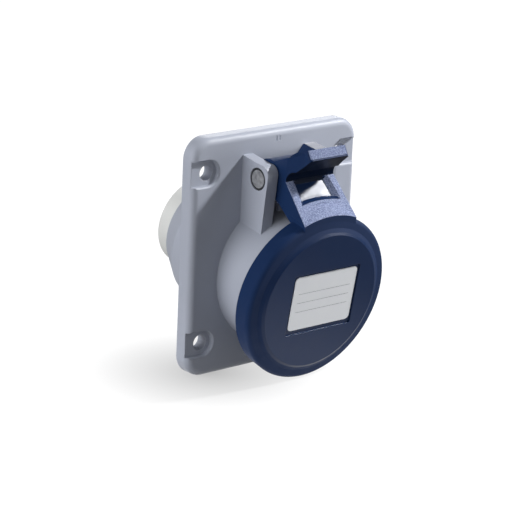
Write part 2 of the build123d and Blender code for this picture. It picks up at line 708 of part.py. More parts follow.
# Torsion spring: the coil starts below the pin, where its upper leg runs forwards into the
# lid, and ends with a lower leg that reaches down to the stop on the collar
coil_plane = Plane(origin=(-SPRING_L / 2, HINGE_Y, HINGE_Z), x_dir=(0, 0, -1), z_dir=(1, 0, 0))
coil_path = coil_plane.location * Helix(SPRING_PITCH, SPRING_L, SPRING_COIL_R)
end_angle = radians(SPRING_END_DEG)
leg_start = coil_path @ 1
leg_direction = Vector(0, -sin(end_angle), cos(end_angle))
with BuildPart() as lid_spring:
    with BuildSketch(Plane(origin=coil_path @ 0, z_dir=coil_path % 0)):
        Circle(SPRING_WIRE_R)
    sweep(path=coil_path)
    with BuildSketch(Plane.XZ.offset(-HINGE_Y)):
        with Locations((-SPRING_L / 2, HINGE_Z - SPRING_COIL_R)):
            Circle(SPRING_WIRE_R)
    extrude(amount=SPRING_LID_LEG)
    with BuildSketch(Plane(origin=leg_start, x_dir=(1, 0, 0), z_dir=leg_direction)):
        Circle(SPRING_WIRE_R)
    extrude(amount=SPRING_HOUSING_LEG)
    with Locations(coil_path @ 0, coil_path @ 1):
        Sphere(SPRING_WIRE_R)
lid_spring.part.label = "lid_spring"
export_step(lid_spring.part, "parts/lid_spring.step")

# Insert that holds the three contacts
with BuildPart() as contact_insert:
    insert_outline = turned(
        (0, INSERT_FACE_S),
        (INSERT_R, INSERT_FACE_S),
        (INSERT_R, SHOULDER_FRONT_S),
        (INSERT_SHOULDER_R, SHOULDER_FRONT_S),
        (INSERT_SHOULDER_R, LEDGE_S),
        (INSERT_R, LEDGE_S),
        (INSERT_R, INSERT_SPLIT_S),
        (0, INSERT_SPLIT_S),
    )
    revolve(insert_outline, axis=SOCKET_AXIS)
    fillet(contact_insert.faces().sort_by(SOCKET_AXIS)[-1].edges(), INSERT_EDGE_R)
    for name in CONTACT_ANGLE:
        place = contact_place(name)
        entry_r = CONTACT_BORE_R[name] + ENTRY_CLEAR
        cavity_r = sleeve_r(name) + CONTACT_CAVITY_CLEAR
        seat_r = sleeve_r(name) + CONTACT_FLANGE_STEP + CONTACT_SEAT_CLEAR
        extrude(disc(entry_r, INSERT_FACE_S, place), amount=-ENTRY_WALL, mode=Mode.SUBTRACT)
        entry_edge = disc(entry_r + ENTRY_CHAMFER, INSERT_FACE_S, place)
        extrude(entry_edge, amount=-ENTRY_CHAMFER, taper=45, mode=Mode.SUBTRACT)
        cavity = disc(cavity_r, INSERT_FACE_S - ENTRY_WALL, place)
        extrude(cavity, amount=INSERT_SPLIT_S - INSERT_FACE_S + ENTRY_WALL, mode=Mode.SUBTRACT)
        extrude(disc(seat_r, INSERT_SPLIT_S, place), amount=CONTACT_FLANGE_T, mode=Mode.SUBTRACT)
    carrier_screw_end = CARRIER_HEAD_SEAT_S + CARRIER_SCREW_L + SCREW_END_GAP
    thread = disc(CARRIER_SCREW_R + SCREW_CLEAR, INSERT_SPLIT_S)
    extrude(thread, amount=carrier_screw_end - INSERT_SPLIT_S, mode=Mode.SUBTRACT)
    for place in INSERT_SCREW_PLACES:
        passage = disc(INSERT_SCREW_R + SCREW_PASS_CLEAR, LEDGE_S, place)
        extrude(passage, amount=INSERT_SHOULDER_T, mode=Mode.SUBTRACT)
contact_insert.part.label = "contact_insert"
export_step(contact_insert.part, "parts/contact_insert.step")

# Terminal carrier behind the insert
with BuildPart() as terminal_carrier:
    extrude(disc(CARRIER_R, INSERT_SPLIT_S), amount=CARRIER_END_S - INSERT_SPLIT_S)
    fillet(terminal_carrier.faces().sort_by(SOCKET_AXIS)[0].edges(), CARRIER_EDGE_R)
    for name in CONTACT_ANGLE:
        place = contact_place(name)
        pocket = disc(PILLAR_R + CONTACT_SEAT_CLEAR, INSERT_SPLIT_S, place)
        extrude(pocket, amount=CARRIER_FLOOR_S - INSERT_SPLIT_S, mode=Mode.SUBTRACT)
        entry = disc(WIRE_ENTRY_R, CARRIER_END_S, place)
        extrude(entry, amount=CARRIER_END_WALL, mode=Mode.SUBTRACT)
        entry_edge = disc(WIRE_ENTRY_R + WIRE_ENTRY_CHAMFER, CARRIER_END_S, place)
        extrude(entry_edge, amount=WIRE_ENTRY_CHAMFER, taper=45, mode=Mode.SUBTRACT)
        access_plane = Plane(
            origin=AXIS_POINT + N * TERMINAL_SCREW_S + U * place[1],
            x_dir=(1, 0, 0),
            z_dir=U * -1,
        )
        with BuildSketch(access_plane):
            with Locations((place[0], 0)):
                Circle(TERMINAL_ACCESS_R)
        extrude(amount=2 * CARRIER_R, mode=Mode.SUBTRACT)
    passage = disc(CARRIER_SCREW_R + SCREW_PASS_CLEAR, CARRIER_END_S)
    extrude(passage, amount=INSERT_SPLIT_S - CARRIER_END_S, mode=Mode.SUBTRACT)
    head_room = disc(CARRIER_SCREW_HEAD_R + HEAD_CLEAR, CARRIER_END_S)
    extrude(head_room, amount=CARRIER_HEAD_SEAT_S - CARRIER_END_S, mode=Mode.SUBTRACT)
terminal_carrier.part.label = "terminal_carrier"
export_step(terminal_carrier.part, "parts/terminal_carrier.step")


def contact_outline(name):
    """The solid outline of a contact, before its bores: (radius, station) about its own axis."""
    outer = sleeve_r(name)
    groove = outer - CLIP_GROOVE
    clip_front = CONTACT_FRONT_S - CLIP_FROM_FRONT
    flange_front = INSERT_SPLIT_S + CONTACT_FLANGE_T
    return (
        (0, CONTACT_FRONT_S),
        (outer, CONTACT_FRONT_S),
        (outer, clip_front),
        (groove, clip_front),
        (groove, clip_front - CLIP_L),
        (outer, clip_front - CLIP_L),
        (outer, flange_front),
        (outer + CONTACT_FLANGE_STEP, flange_front),
        (outer + CONTACT_FLANGE_STEP, INSERT_SPLIT_S),
        (PILLAR_R, INSERT_SPLIT_S),
        (PILLAR_R, PILLAR_END_S),
        (0, PILLAR_END_S),
    )


def contact_body(name):
    """A slit sleeve with a trapped flange and a terminal pillar."""
    place = contact_place(name)
    shift = Vector(place[0], 0, 0) + U * place[1]
    bore_r = CONTACT_BORE_R[name]
    solid = revolve(Pos(shift) * turned(*contact_outline(name)), axis=Axis(AXIS_POINT + shift, N))
    front = disc(bore_r, CONTACT_FRONT_S, place)
    solid -= extrude(front, amount=CONTACT_BORE_END_S - CONTACT_FRONT_S)
    solid -= extrude(disc(WIRE_BORE_R, PILLAR_END_S, place), amount=WIRE_BORE_L)
    slit_place = across(CONTACT_FRONT_S) * Pos(place[0], place[1])
    for turn in (0, 90):
        slit = slit_place * Rot(0, 0, turn) * Rectangle(CONTACT_SLIT_W, 3 * sleeve_r(name))
        solid -= extrude(slit, amount=-CONTACT_SLIT_L)
    screw_origin = AXIS_POINT + N * TERMINAL_SCREW_S + shift
    thread = Plane(origin=screw_origin, x_dir=(1, 0, 0), z_dir=U * -1) * Circle(
        TERMINAL_SCREW_R + SCREW_CLEAR
    )
    solid -= extrude(thread, amount=2 * PILLAR_R)
    return solid


def clip_body(name):
    """An open spring ring in the groove round a contact's sleeve."""
    place = contact_place(name)
    inner = sleeve_r(name) - CLIP_GROOVE + CLIP_CLEAR
    front_s = CONTACT_FRONT_S - CLIP_FROM_FRONT - CLIP_CLEAR
    at = across(front_s) * Pos(place[0], place[1])
    outline = at * (Circle(inner + CLIP_T) - Circle(inner))
    reach = 3 * inner
    half = radians(CLIP_OPENING_DEG / 2)
    wedge = at * Rot(0, 0, CONTACT_ANGLE[name] + 45) * make_face(
        Polyline((0, 0), (reach, -reach * tan(half)), (reach, reach * tan(half)), close=True)
    )
    return extrude(outline - wedge, amount=-CLIP_L + 2 * CLIP_CLEAR)


def terminal_screw_body(name):
    """A short slotted screw that comes into its pillar from below."""
    place = contact_place(name)
    tip = place[1] - WIRE_BORE_R - TERMINAL_SCREW_TIP_GAP
    origin = AXIS_POINT + N * TERMINAL_SCREW_S + Vector(place[0], 0, 0) + U * tip
    at = Plane(origin=origin, x_dir=(1, 0, 0), z_dir=U * -1)
    solid = extrude(at * Circle(TERMINAL_SCREW_R), amount=TERMINAL_SCREW_L)
    head_at = at.offset(TERMINAL_SCREW_L - TERMINAL_SCREW_HEAD_T)
    solid += extrude(head_at * Circle(TERMINAL_SCREW_HEAD_R), amount=TERMINAL_SCREW_HEAD_T)
    slot_at = at.offset(TERMINAL_SCREW_L)
    slot = slot_at * Rectangle(3 * TERMINAL_SCREW_HEAD_R, DRIVER_SLOT_W)
    solid -= extrude(slot, amount=-DRIVER_SLOT_DEPTH)
    return solid


def headed_screw_body(seat_s, place, facing, radius, length, head_r, head_t):
    """A slotted screw along the tilted axis; facing is 1 for a head towards the mouth."""
    at = across(seat_s) * Pos(place[0], place[1])
    solid = extrude(at * Circle(radius), amount=-facing * length)
    solid += extrude(at * Circle(head_r), amount=facing * head_t)
    slot_at = across(seat_s + facing * head_t) * Pos(place[0], place[1])
    solid -= extrude(slot_at * Rectangle(3 * head_r, DRIVER_SLOT_W), amount=-facing * DRIVER_SLOT_DEPTH)
    return solid


phase_contact_solid = contact_body("phase")
neutral_contact_solid = contact_body("neutral")
earth_contact_solid = contact_body("earth")
phase_clip_solid = clip_body("phase")
neutral_clip_solid = clip_body("neutral")
earth_clip_solid = clip_body("earth")
phase_screw_solid = terminal_screw_body("phase")
neutral_screw_solid = terminal_screw_body("neutral")
earth_screw_solid = terminal_screw_body("earth")
carrier_screw_solid = headed_screw_body(
    CARRIER_HEAD_SEAT_S,
    (0, 0),
    -1,
    CARRIER_SCREW_R,
    CARRIER_SCREW_L,
    CARRIER_SCREW_HEAD_R,
    CARRIER_SCREW_HEAD_T,
)
insert_screw_left_solid = headed_screw_body(
    SHOULDER_FRONT_S,
    INSERT_SCREW_PLACES[0],
    1,
    INSERT_SCREW_R,
    INSERT_SCREW_L,
    INSERT_SCREW_HEAD_R,
    INSERT_SCREW_HEAD_T,
)
insert_screw_right_solid = headed_screw_body(
    SHOULDER_FRONT_S,
    INSERT_SCREW_PLACES[1],
    1,
    INSERT_SCREW_R,
    INSERT_SCREW_L,
    INSERT_SCREW_HEAD_R,
    INSERT_SCREW_HEAD_T,
)

# Contacts
with BuildPart() as phase_contact:
    add(phase_contact_solid)
phase_contact.part.label = "phase_contact"
export_step(phase_contact.part, "parts/phase_contact.step")

with BuildPart() as neutral_contact:
    add(neutral_contact_solid)
neutral_contact.part.label = "neutral_contact"
export_step(neutral_contact.part, "parts/neutral_contact.step")

with BuildPart() as earth_contact:
    add(earth_contact_solid)
earth_contact.part.label = "earth_contact"
export_step(earth_contact.part, "parts/earth_contact.step")

# Spring rings round the contacts
with BuildPart() as phase_contact_clip:
    add(phase_clip_solid)
phase_contact_clip.part.label = "phase_contact_clip"
export_step(phase_contact_clip.part, "parts/phase_contact_clip.step")

with BuildPart() as neutral_contact_clip:
    add(neutral_clip_solid)
neutral_contact_clip.part.label = "neutral_contact_clip"
export_step(neutral_contact_clip.part, "parts/neutral_contact_clip.step")

with BuildPart() as earth_contact_clip:
    add(earth_clip_solid)
earth_contact_clip.part.label = "earth_contact_clip"
export_step(earth_contact_clip.part, "parts/earth_contact_clip.step")

# Screws
with BuildPart() as phase_terminal_screw:
    add(phase_screw_solid)
phase_terminal_screw.part.label = "phase_terminal_screw"
export_step(phase_terminal_screw.part, "parts/phase_terminal_screw.step")

with BuildPart() as neutral_terminal_screw:
    add(neutral_screw_solid)
neutral_terminal_screw.part.label = "neutral_terminal_screw"
export_step(neutral_terminal_screw.part, "parts/neutral_terminal_screw.step")

with BuildPart() as earth_terminal_screw:
    add(earth_screw_solid)
earth_terminal_screw.part.label = "earth_terminal_screw"
export_step(earth_terminal_screw.part, "parts/earth_terminal_screw.step")

with BuildPart() as carrier_screw:
    add(carrier_screw_solid)
carrier_screw.part.label = "carrier_screw"
export_step(carrier_screw.part, "parts/carrier_screw.step")

with BuildPart() as insert_screw_left:
    add(insert_screw_left_solid)
insert_screw_left.part.label = "insert_screw_left"
export_step(insert_screw_left.part, "parts/insert_screw_left.step")

with BuildPart() as insert_screw_right:
    add(insert_screw_right_solid)
insert_screw_right.part.label = "insert_screw_right"
export_step(insert_screw_right.part, "parts/insert_screw_right.step")

# Rating label in the lid's recess
with BuildPart() as rating_label:
    with BuildSketch(across(LID_FACE_S - RECESS_DEPTH)):
        with Locations((LABEL_SHIFT_X, LABEL_SHIFT_U)):
            RectangleRounded(LABEL_W, LABEL_H, LABEL_CORNER_R)
    extrude(amount=LABEL_T)
rating_label.part.label = "rating_label"
export_step(rating_label.part, "parts/rating_label.step")
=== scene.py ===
# %% [markdown]
# # An inclined industrial panel socket
# The real object is a grey moulded flange with a collar that leans downwards, three contacts
# deep inside it, and a dark blue sprung lid. This lesson dresses the finished solids: it loads
# them, sets up the camera, floor and lamps, and then gives each moulding, metal and rubber
# piece its own surface. Shapes stay as they come, because their sizes are already right.

# %% Load the solids
from math import cos, radians, sin

import bpy
from mathutils import Matrix, Vector


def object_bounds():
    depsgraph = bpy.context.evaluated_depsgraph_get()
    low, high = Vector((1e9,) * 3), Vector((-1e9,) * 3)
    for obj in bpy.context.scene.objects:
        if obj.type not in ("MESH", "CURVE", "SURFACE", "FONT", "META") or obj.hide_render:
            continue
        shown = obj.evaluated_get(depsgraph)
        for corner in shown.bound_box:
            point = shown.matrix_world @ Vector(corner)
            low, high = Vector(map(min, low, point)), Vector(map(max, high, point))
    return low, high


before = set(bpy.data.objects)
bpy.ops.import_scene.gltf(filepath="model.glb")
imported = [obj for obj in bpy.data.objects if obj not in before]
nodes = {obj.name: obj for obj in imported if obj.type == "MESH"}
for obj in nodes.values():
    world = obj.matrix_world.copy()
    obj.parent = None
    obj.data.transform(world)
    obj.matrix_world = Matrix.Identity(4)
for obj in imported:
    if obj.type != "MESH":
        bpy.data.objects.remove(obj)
solid_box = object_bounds()
print("solids:", len(nodes))

# %% [markdown]
# ## Camera
# The photograph looks at the socket from its front left and a little above. The camera could be
# aimed with a constraint, but its place, lens and small roll were worked out from the flange's
# corners, so they are written as plain numbers: a direction in degrees, a distance in metres
# and a lens in millimetres.

# %% Camera
CAMERA_TURN = radians(-40.774)
CAMERA_RISE = radians(16.764)
CAMERA_ROLL = radians(2.61)
CAMERA_DISTANCE = 0.78289
CAMERA_SLIDE = (-0.000443, -0.006193)
CAMERA_LENS = 155.52
CAMERA_SENSOR_WIDTH = 36
CAMERA_SIGHT_END = 20


def camera_matrix():
    """Where the camera stands and how it is turned."""
    back = Vector(
        (
            sin(CAMERA_TURN) * cos(CAMERA_RISE),
            -cos(CAMERA_TURN) * cos(CAMERA_RISE),
            sin(CAMERA_RISE),
        )
    )
    right = Vector((cos(CAMERA_TURN), sin(CAMERA_TURN), 0))
    up = back.cross(right)
    place = right * CAMERA_SLIDE[0] + up * CAMERA_SLIDE[1] + back * CAMERA_DISTANCE
    rolled_right = right * cos(CAMERA_ROLL) + up * sin(CAMERA_ROLL)
    rolled_up = up * cos(CAMERA_ROLL) - right * sin(CAMERA_ROLL)
    columns = Matrix((rolled_right, rolled_up, back)).transposed().to_4x4()
    columns.translation = place
    return columns


camera_data = bpy.data.cameras.new("camera")
camera_data.lens = CAMERA_LENS
camera_data.sensor_width = CAMERA_SENSOR_WIDTH
camera_data.clip_end = CAMERA_SIGHT_END
camera = bpy.data.objects.new("camera", camera_data)
camera.matrix_world = camera_matrix()
bpy.context.scene.collection.objects.link(camera)
bpy.context.scene.camera = camera
print("camera at", [round(c, 3) for c in camera.location])

# %% [markdown]
# ## First links of a node chain
# Every surface here, from the floor to the label, is a chain of small nodes. The chains could be
# joined by hand in the shader editor, but a script reads better when each common link has a
# name. These four start a finish, do one sum, stretch a value between two limits, and tell kinds
# of light rays apart. The rest are made where they are first needed.


# %% First links
def new_finish(name):
    """An empty finish: its material, node tree and shader."""
    material = bpy.data.materials.new(name)
    material.use_nodes = True
    return material, material.node_tree, material.node_tree.nodes["Principled BSDF"]


def calculated(tree, operation, first, second=None):
    """One sum on two values, each a number or another output."""
    node = tree.nodes.new("ShaderNodeMath")
    node.operation = operation
    for socket, value in zip(node.inputs, (first, second)):
        if isinstance(value, (int, float)):
            socket.default_value = value
        elif value is not None:
            tree.links.new(value, socket)
    return node.outputs[0]


def spread(tree, value, low, high, from_low=0.3, from_high=0.7):
    """Stretches a value between two limits; noise mostly lies between 0.3 and 0.7."""
    ranged = tree.nodes.new("ShaderNodeMapRange")
    ranged.inputs["From Min"].default_value = from_low
    ranged.inputs["From Max"].default_value = from_high
    ranged.inputs["To Min"].default_value = low
    ranged.inputs["To Max"].default_value = high
    tree.links.new(value, ranged.inputs["Value"])
    return ranged.outputs["Result"]


def rays(tree, *kinds):
    """1 for any of the named kinds of ray, and 0 for the others."""
    path = tree.nodes.new("ShaderNodeLightPath")
    value = path.outputs[kinds[0]]
    for kind in kinds[1:]:
        value = calculated(tree, "MAXIMUM", value, path.outputs[kind])
    return value


print("links: new_finish, calculated, spread, rays")

# %% [markdown]
# ## Floor
# The socket stands on a white sweep. A floor that is only lit goes grey with distance, and a
# brightly lit white floor would throw too much light back up. So this floor is grey to the
# lamps and adds light of its own: camera and glass rays see its glow dimmed round the socket's
# foot, which is a painted soft shadow, and growing white with distance, and mirror rays see it
# fade into the dark room behind the camera, which keeps the blue lid deep.

# %% Floor
FLOOR_LEVEL = -0.0421
FLOOR_SIZE = 6.0
FLOOR_COLOUR = (0.12, 0.12, 0.122, 1)
FLOOR_ROUGHNESS = 0.9
# The glow that eyes see is lowest at GLOW_CENTRE, which paints a soft shadow round the foot.
GLOW_CENTRE = (-0.024, -0.004, 0)
SEEN_PAINTED_SHADOW_RADII = (0.0, 0.043)
SEEN_GLOW_AND_PAINTED_SHADOW = (0.48, 0.97)
MIRRORED_RADII = (0.05, 0.11)
MIRRORED_GLOW = (1.2, 0.08)


def floor_glow(tree):
    """The floor's own light by distance for eyes and mirrors, with a painted shadow at the foot.
    """
    place = tree.nodes.new("ShaderNodeTexCoord")
    apart = tree.nodes.new("ShaderNodeVectorMath")
    apart.operation = "DISTANCE"
    apart.inputs[1].default_value = GLOW_CENTRE
    tree.links.new(place.outputs["Object"], apart.inputs[0])
    distance = apart.outputs["Value"]
    # Painted shadow: the glow seen by eyes is dimmed near the socket's foot.
    seen_with_painted_shadow = spread(tree, distance, *SEEN_GLOW_AND_PAINTED_SHADOW, *SEEN_PAINTED_SHADOW_RADII)
    eyes = rays(tree, "Is Camera Ray", "Is Transmission Ray")
    mirrored = spread(tree, distance, *MIRRORED_GLOW, *MIRRORED_RADII)
    mirrors = rays(tree, "Is Glossy Ray")
    return calculated(
        tree,
        "MAXIMUM",
        calculated(tree, "MULTIPLY", seen_with_painted_shadow, eyes),
        calculated(tree, "MULTIPLY", mirrored, mirrors),
    )


def white_sweep():
    """A dull grey surface that adds its own light."""
    material, tree, shader = new_finish("white_sweep")
    shader.inputs["Base Color"].default_value = FLOOR_COLOUR
    shader.inputs["Roughness"].default_value = FLOOR_ROUGHNESS
    shader.inputs["Specular IOR Level"].default_value = 0.0
    glow = tree.nodes.new("ShaderNodeEmission")
    tree.links.new(floor_glow(tree), glow.inputs["Strength"])
    both = tree.nodes.new("ShaderNodeAddShader")
    tree.links.new(shader.outputs[0], both.inputs[0])
    tree.links.new(glow.outputs[0], both.inputs[1])
    tree.links.new(both.outputs[0], tree.nodes["Material Output"].inputs["Surface"])
    return material


floor_mesh = bpy.data.meshes.new("floor")
half = FLOOR_SIZE / 2
corners = [(-half, -half, 0), (half, -half, 0), (half, half, 0), (-half, half, 0)]
floor_mesh.from_pydata(corners, [], [(0, 1, 2, 3)])
floor_mesh.materials.append(white_sweep())
floor = bpy.data.objects.new("floor", floor_mesh)
floor.location = (0, 0, FLOOR_LEVEL)
bpy.context.scene.collection.objects.link(floor)
print("floor level", FLOOR_LEVEL)

# %% [markdown]
# ## Lamps
# The photograph has one clear key lamp: the near ear throws a crisp slanting shadow to the lower
# left on the flange, so the lamp is small and stands to the right, in front and above. The floor
# of the lid's thumb pocket mirrors it. A softer and weaker lamp from the front lights the label,
# which leans away from the key. A broad lamp stands at the left, level with the flange, so that
# side walls are bright while the flange's shadowed face stays dark, and a weak one fills that
# face. A small lamp behind on the right makes the upper edges shine. Blue gloss would turn grey
# if it mirrored the two broad lamps at the left, so mirror rays don't see them.

# %% Lamps
LAMPS = {
    "key": {"towards": (0.66, -0.35, 0.665), "distance": 0.45, "size": 0.045, "power": 2.35},
    "front": {"towards": (0.75, -0.80, 0.14), "distance": 0.8, "size": 0.3, "power": 1.5},
    "side": {"towards": (-1.0, 0.24, 0.25), "distance": 1.2, "size": 1.1, "power": 14.0},
    "fill": {"towards": (-0.8, -0.52, -0.02), "distance": 1.2, "size": 0.6, "power": 2.8},
    "rim": {"towards": (0.62, 0.72, 0.34), "distance": 1.2, "size": 0.36, "power": 2.2},
}
HIDDEN_FROM_MIRRORS = ("side", "fill")


def add_lamp(name, towards, distance, size, power):
    """A round lamp that stands in one direction and shines at the middle of the socket."""
    lamp = bpy.data.lights.new(name, "AREA")
    lamp.shape = "DISK"
    lamp.size = size
    lamp.energy = power
    holder = bpy.data.objects.new(name, lamp)
    direction = Vector(towards).normalized()
    holder.location = direction * distance
    holder.rotation_euler = direction.to_track_quat("Z", "Y").to_euler()
    holder.visible_glossy = name not in HIDDEN_FROM_MIRRORS
    bpy.context.scene.collection.objects.link(holder)


for name, lamp in LAMPS.items():
    add_lamp(name, **lamp)
print("lamps:", ", ".join(LAMPS))

# %% [markdown]
# ## World
# Round the socket in the photograph all is white, yet its shadows are deep. A white world would
# fill them. So the world is white only where the camera or glass looks at it, dim where it
# lights the socket, and a little dimmer in mirrors. The view transform is Standard, which shows
# each colour as it is written.

# %% World
WORLD_STRENGTH = 0.19
WORLD_MIRRORED = 0.15

world = bpy.data.worlds.new("studio")
world.use_nodes = True
bpy.context.scene.world = world
world_tree = world.node_tree
background = world_tree.nodes["Background"]
background.inputs["Color"].default_value = (1, 1, 1, 1)
in_mirrors = rays(world_tree, "Is Glossy Ray")
dim = spread(world_tree, in_mirrors, WORLD_STRENGTH, WORLD_MIRRORED, 0, 1)
eyes = rays(world_tree, "Is Camera Ray", "Is Transmission Ray")
strength = calculated(world_tree, "MAXIMUM", eyes, dim)
world_tree.links.new(strength, background.inputs["Strength"])
bpy.context.scene.view_settings.view_transform = "Standard"
print("world strength", WORLD_STRENGTH, "and in mirrors", WORLD_MIRRORED)

# %% [markdown]
# ## Grain, masks and soft edges
# Grain and masks are easier to judge in the socket's own millimetres than in Blender's metres.
# World coordinates would slide over a piece that swings, but object coordinates move with it,
# so a grain stays where it was moulded. These links make the noise, colours, masks and bumps
# that the finishes share, and the last one puts a finish on its pieces.

# %% Links in millimetres
MM_PER_METRE = 1000
EDGE_SAMPLES = 6


def millimetres(tree):
    """Object coordinates in millimetres."""
    place = tree.nodes.new("ShaderNodeTexCoord")
    scale = tree.nodes.new("ShaderNodeVectorMath")
    scale.operation = "SCALE"
    scale.inputs["Scale"].default_value = MM_PER_METRE
    tree.links.new(place.outputs["Object"], scale.inputs[0])
    return scale.outputs[0]


def noise(tree, place, cell_mm, detail=3.0):
    """Soft noise whose blotches are about cell_mm across."""
    texture = tree.nodes.new("ShaderNodeTexNoise")
    texture.inputs["Scale"].default_value = 1 / cell_mm
    texture.inputs["Detail"].default_value = detail
    tree.links.new(place, texture.inputs["Vector"])
    return texture.outputs["Fac"]


def between_colours(tree, factor, first, second):
    """A colour that runs from first to second; either may be a colour or another output."""
    mix = tree.nodes.new("ShaderNodeMix")
    mix.data_type = "RGBA"
    tree.links.new(factor, mix.inputs["Factor"])
    for socket, colour in ((mix.inputs[6], first), (mix.inputs[7], second)):
        if isinstance(colour, tuple):
            socket.default_value = (*colour, 1)
        else:
            tree.links.new(colour, socket)
    return mix.outputs[2]


def bump(tree, height, depth_mm, under=None):
    """A bump as deep as depth_mm, on top of another bump if one is given."""
    node = tree.nodes.new("ShaderNodeBump")
    node.inputs["Distance"].default_value = depth_mm / MM_PER_METRE
    tree.links.new(height, node.inputs["Height"])
    if under is not None:
        tree.links.new(under, node.inputs["Normal"])
    return node.outputs["Normal"]


def soft_edges(tree, radius_mm):
    """A normal that rounds sharp edges by about radius_mm."""
    node = tree.nodes.new("ShaderNodeBevel")
    node.samples = EDGE_SAMPLES
    node.inputs["Radius"].default_value = radius_mm / MM_PER_METRE
    return node.outputs["Normal"]


def dress(finish, *names):
    """Puts one finish on every slot of the named solids."""
    for name in names:
        for slot in nodes[name].material_slots:
            slot.material = finish
    print(finish.name, "on", ", ".join(names))


spans = [high - low for low, high in zip(*solid_box)]
print("socket in millimetres:", [round(span * MM_PER_METRE, 1) for span in spans])

# %% [markdown]
# ## Tests of place
# Some finishes change at a border: painted light in a cut in the grey, a grip on the blue. A
# painted mask needs an unwrapped skin, and a picture file. A test of place needs neither: it
# gives 1 inside its limits and 0 outside, and a mask is several tests multiplied.


# %% Tests
def above(tree, value, limit):
    """1 where a value is above a limit."""
    return calculated(tree, "GREATER_THAN", value, limit)


def below(tree, value, limit):
    """1 where a value is below a limit."""
    return calculated(tree, "LESS_THAN", value, limit)


def near_zero(tree, value, limit):
    """1 where a value is within a limit of zero, on either side."""
    return below(tree, calculated(tree, "ABSOLUTE", value), limit)


def all_of(tree, *tests):
    """1 where every test is 1."""
    value = tests[0]
    for test in tests[1:]:
        value = calculated(tree, "MULTIPLY", value, test)
    return value


def offset_from(tree, place, point):
    """The step from a point to a place."""
    offset = tree.nodes.new("ShaderNodeVectorMath")
    offset.operation = "SUBTRACT"
    offset.inputs[1].default_value = point
    tree.links.new(place, offset.inputs[0])
    return offset.outputs[0]


def split(tree, vector):
    """The three parts of a vector, along X, Y and Z."""
    apart = tree.nodes.new("ShaderNodeSeparateXYZ")
    tree.links.new(vector, apart.inputs[0])
    return apart.outputs


def inside_box(tree, place, centre, reach):
    """1 inside a box that reaches so far from its centre along X, Y and Z."""
    steps = split(tree, offset_from(tree, place, centre))
    return all_of(tree, *[near_zero(tree, step, limit) for step, limit in zip(steps, reach)])


print("tests: above, below, near_zero, all_of, inside_box")

# %% [markdown]
# ## Grey housing
# The flange, collar, ears and cup are one moulding of satin grey plastic. A flat grey looks like
# paper, so the finish has what a mould leaves: a fine eroded grain that breaks up the gloss, a
# slow drift in tone where the melt cooled, and rounded edges that catch the key lamp. The two
# small cuts at the top middle get painted light, which lifts the shade in them, and a box
# round them finds them.

# %% Grey housing
HOUSING_GREY = (0.370, 0.396, 0.468)
HOUSING_PALE = (0.400, 0.428, 0.505)
HOUSING_ROUGHNESS = (0.42, 0.56)
MARK_PAINTED_LIGHT = (0.72, 0.75, 0.82)
MARK_CENTRE = (0, -5.8, 38.7)
MARK_REACH = (1.3, 0.15, 1.2)


def moulded_grey():
    """Satin grey plastic with a fine grain, and painted light in two small cuts."""
    material, tree, shader = new_finish("housing_grey")
    place = millimetres(tree)
    drift = noise(tree, place, cell_mm=18)
    grey = between_colours(tree, drift, HOUSING_GREY, HOUSING_PALE)
    # Painted light: the insides of the two cuts are made pale against the shade in them.
    marks = inside_box(tree, place, MARK_CENTRE, MARK_REACH)
    tree.links.new(between_colours(tree, marks, grey, MARK_PAINTED_LIGHT), shader.inputs["Base Color"])
    grain = noise(tree, place, cell_mm=0.35, detail=2)
    tree.links.new(spread(tree, grain, *HOUSING_ROUGHNESS), shader.inputs["Roughness"])
    edges = soft_edges(tree, radius_mm=0.35)
    tree.links.new(bump(tree, grain, depth_mm=0.02, under=edges), shader.inputs["Normal"])
    return material


dress(moulded_grey(), "housing")

# %% [markdown]
# ## Blue lid: how its faces are found
# The lid is one moulding with several surfaces: a glossy cap with a satin bevel, an eroded grip
# on the neck and the thumb bar, a smooth thumb pocket and a dull hollow under the bar. Separate
# skins would show seams where they meet. So one material finds each face by its distance from a
# plane or from the cap's axis, and by the way that the surface points.

# %% Lid planes and axis
NECK_FACE_POINT = (0, -23.1, 28.6)
NECK_FACE_NORMAL = (0, -0.7333, 0.68)
BAR_FACE_POINT = (0, -32.8, 37.3)
BAR_FACE_NORMAL = (0, -0.873, 0.488)
LID_AXIS_POINT = (0, -6.0, -8.3)
LID_AXIS = (0, -0.98481, -0.17365)


def measured(tree, place, point, operation, vector):
    """The step from a point to a place, dotted or crossed with a vector."""
    product = tree.nodes.new("ShaderNodeVectorMath")
    product.operation = operation
    product.inputs[1].default_value = vector
    tree.links.new(offset_from(tree, place, point), product.inputs[0])
    return product


def plane_distance(tree, place, point, normal):
    """The signed distance from a plane, positive in front of it."""
    return measured(tree, place, point, "DOT_PRODUCT", normal).outputs["Value"]


def axis_distance(tree, place, point, axis):
    """The distance from an axis."""
    crossed = measured(tree, place, point, "CROSS_PRODUCT", axis)
    length = tree.nodes.new("ShaderNodeVectorMath")
    length.operation = "LENGTH"
    tree.links.new(crossed.outputs["Vector"], length.inputs[0])
    return length.outputs["Value"]


def neck_distance(tree, place):
    """The distance in front of the neck's face."""
    return plane_distance(tree, place, NECK_FACE_POINT, NECK_FACE_NORMAL)


def cap_distance(tree, place):
    """The distance from the cap's axis."""
    return axis_distance(tree, place, LID_AXIS_POINT, LID_AXIS)


def facing(tree):
    """The parts of a surface's own direction along X, Y and Z."""
    return split(tree, tree.nodes.new("ShaderNodeTexCoord").outputs["Normal"])


print("cap axis through", LID_AXIS_POINT, "along", LID_AXIS)

